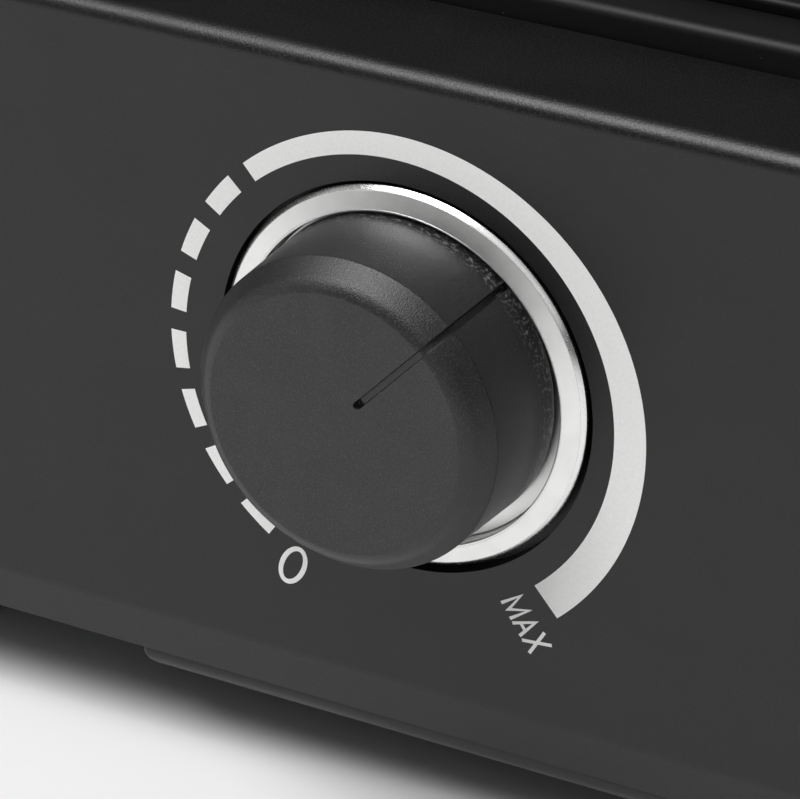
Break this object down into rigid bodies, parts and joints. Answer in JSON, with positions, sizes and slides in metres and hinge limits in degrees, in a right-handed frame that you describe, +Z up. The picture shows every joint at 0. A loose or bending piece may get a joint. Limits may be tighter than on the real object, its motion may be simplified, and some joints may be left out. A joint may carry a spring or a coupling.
{
  "type": "raclette grill",
  "caption": "Tabletop raclette grill: ribbed grill plate over a bent heater, small pans that slide in from both long sides, moulded ends and a thermostat knob in a metal ring.",
  "frame": {"origin": "centre of the whole object's box, on the surface that the feet stand on", "axes": "+Z up, +Y along the length away from the control panel, +X to the right of the panel"},
  "size_m": [0.378, 0.467, 0.115],
  "materials": {
    "housing_plastic": "fine matt grain",
    "knob_plastic": "fine spark-eroded grain",
    "satin_ring": "fine satin",
    "coated_steel": "speckled non-stick coating",
    "handle_plastic": "satin moulded",
    "bare_steel": "zinc-plated",
    "cast_plate": "dark non-stick coating",
    "heater_sheath": "dull, heat-darkened",
    "insulator": "unglazed",
    "foot_rubber": "matt",
    "lead_sleeve": "woven sleeve"
  },
  "bodies": {
    "housing": {"control_end_shell": "housing_plastic", "far_end_shell": "housing_plastic", "control_bottom_cover": "housing_plastic", "far_bottom_cover": "housing_plastic", "knob_ring": "satin_ring", "pan_deck": "coated_steel", "control_heat_shield": "bare_steel", "far_heat_shield": "bare_steel", "bottom_reflector": "bare_steel", "element_bracket_near": "bare_steel", "element_bracket_far": "bare_steel", "element_terminal_left": "bare_steel", "element_terminal_right": "bare_steel", "thermostat_bracket": "bare_steel", "thermostat_screw_left": "bare_steel", "thermostat_screw_right": "bare_steel", "heating_element": "heater_sheath", "element_bush_left": "insulator", "element_bush_right": "insulator", "thermostat_body": "insulator", "terminal_block": "insulator", "foot_front_left": "foot_rubber", "foot_front_right": "foot_rubber", "foot_back_left": "foot_rubber", "foot_back_right": "foot_rubber", "cord_gland": "foot_rubber", "lead_live": "lead_sleeve", "lead_switched": "lead_sleeve", "lead_neutral": "lead_sleeve", "lead_earth": "lead_sleeve"},
    "knob": {"control_knob": "knob_plastic", "thermostat_shaft": "bare_steel"},
    "pan_left_1": {"pan_left_1": "coated_steel", "pan_handle_left_1": "handle_plastic", "pan_tang_left_1": "bare_steel"},
    "pan_left_2": {"pan_left_2": "coated_steel", "pan_handle_left_2": "handle_plastic", "pan_tang_left_2": "bare_steel"},
    "pan_left_3": {"pan_left_3": "coated_steel", "pan_handle_left_3": "handle_plastic", "pan_tang_left_3": "bare_steel"},
    "pan_left_4": {"pan_left_4": "coated_steel", "pan_handle_left_4": "handle_plastic", "pan_tang_left_4": "bare_steel"},
    "pan_right_1": {"pan_right_1": "coated_steel", "pan_handle_right_1": "handle_plastic", "pan_tang_right_1": "bare_steel"},
    "pan_right_2": {"pan_right_2": "coated_steel", "pan_handle_right_2": "handle_plastic", "pan_tang_right_2": "bare_steel"},
    "pan_right_3": {"pan_right_3": "coated_steel", "pan_handle_right_3": "handle_plastic", "pan_tang_right_3": "bare_steel"},
    "pan_right_4": {"pan_right_4": "coated_steel", "pan_handle_right_4": "handle_plastic", "pan_tang_right_4": "bare_steel"},
    "plate": {"grill_plate": "cast_plate"}
  },
  "joints": [
    {"name": "knob_turn", "type": "hinge", "parent": "housing", "child": "knob", "pos_m": [0, -0.21645, 0.06815], "axis": [0, -1, 0], "range_deg": [-106, 194]},
    {"name": "plate_lift", "type": "slide", "parent": "housing", "child": "plate", "axis": [0, 0, 1], "range_m": [0, 0.06]},
    {"name": "pan_left_1_slide", "type": "slide", "parent": "housing", "child": "pan_left_1", "axis": [-1, 0, 0], "range_m": [0, 0.115]},
    {"name": "pan_left_2_slide", "type": "slide", "parent": "housing", "child": "pan_left_2", "axis": [-1, 0, 0], "range_m": [0, 0.115]},
    {"name": "pan_left_3_slide", "type": "slide", "parent": "housing", "child": "pan_left_3", "axis": [-1, 0, 0], "range_m": [0, 0.115]},
    {"name": "pan_left_4_slide", "type": "slide", "parent": "housing", "child": "pan_left_4", "axis": [-1, 0, 0], "range_m": [0, 0.115]},
    {"name": "pan_right_1_slide", "type": "slide", "parent": "housing", "child": "pan_right_1", "axis": [1, 0, 0], "range_m": [0, 0.115]},
    {"name": "pan_right_2_slide", "type": "slide", "parent": "housing", "child": "pan_right_2", "axis": [1, 0, 0], "range_m": [0, 0.115]},
    {"name": "pan_right_3_slide", "type": "slide", "parent": "housing", "child": "pan_right_3", "axis": [1, 0, 0], "range_m": [0, 0.115]},
    {"name": "pan_right_4_slide", "type": "slide", "parent": "housing", "child": "pan_right_4", "axis": [1, 0, 0], "range_m": [0, 0.115]}
  ]
}
